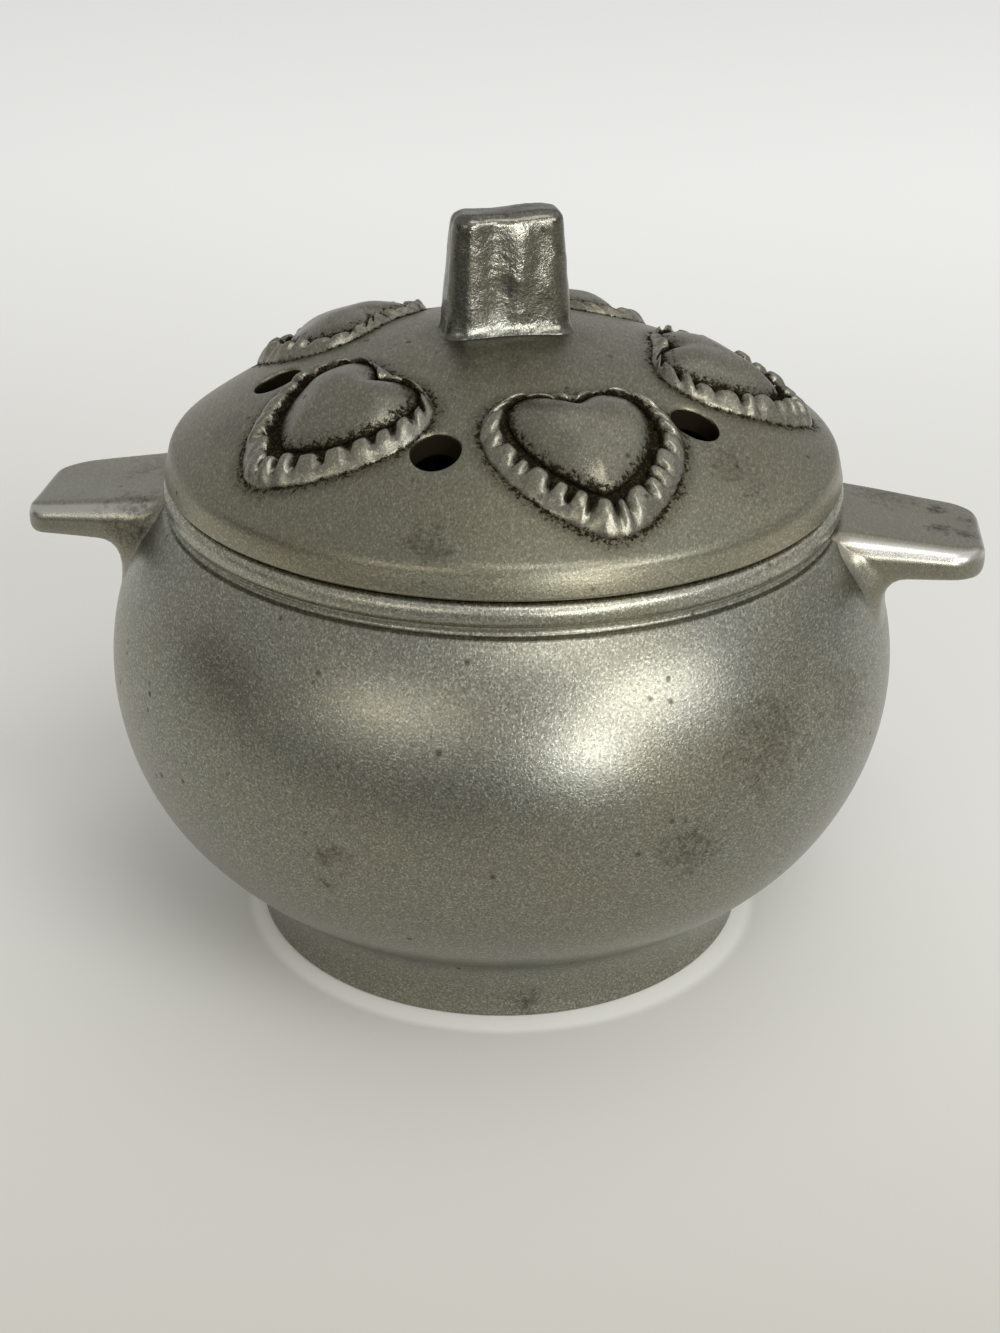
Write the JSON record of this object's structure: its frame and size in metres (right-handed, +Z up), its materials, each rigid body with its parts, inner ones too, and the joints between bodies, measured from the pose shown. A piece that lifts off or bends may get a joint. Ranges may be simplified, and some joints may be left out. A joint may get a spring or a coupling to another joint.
{
  "type": "potpourri pot",
  "caption": "Round-bellied cast pewter potpourri pot on a foot ring, with lug handles and a pierced lift-off domed lid carrying a post knob and puffed hearts in ruffles.",
  "frame": {"origin": "centre of the foot ring's underside, on the pot's upright axis", "axes": "+X along the two handles towards the right handle, +Y away from the viewer, +Z up"},
  "size_m": [0.122, 0.1024, 0.095],
  "materials": {
    "pot_metal": "satin cast pewter, tumbled",
    "lid_metal": "satin cast pewter, tumbled",
    "knob_metal": "rough cast pewter, worn bright on its faces",
    "heart_metal": "satin cast pewter, worn bright on the crowns",
    "ruffle_metal": "cast pewter with dark patina between the pleats"
  },
  "bodies": {
    "pot": {"pot_body": "pot_metal", "pot_rim": "pot_metal", "foot_ring": "pot_metal", "right_handle": "pot_metal", "left_handle": "pot_metal"},
    "lid_ring": {"lid_flange": "lid_metal"},
    "lid": {"lid_dome": "lid_metal", "lid_knob": "knob_metal", "heart_boss_1": "heart_metal", "heart_boss_2": "heart_metal", "heart_boss_3": "heart_metal", "heart_boss_4": "heart_metal", "heart_boss_5": "heart_metal", "heart_ruffle_1": "ruffle_metal", "heart_ruffle_2": "ruffle_metal", "heart_ruffle_3": "ruffle_metal", "heart_ruffle_4": "ruffle_metal", "heart_ruffle_5": "ruffle_metal"}
  },
  "joints": [
    {"name": "lid_lift", "type": "slide", "parent": "pot", "child": "lid_ring", "axis": [0, 0, 1], "range_m": [0, 0.1]},
    {"name": "lid_turn", "type": "hinge", "parent": "lid_ring", "child": "lid", "pos_m": [0, 0, 0.0623], "axis": [0, 0, 1], "continuous": true}
  ]
}
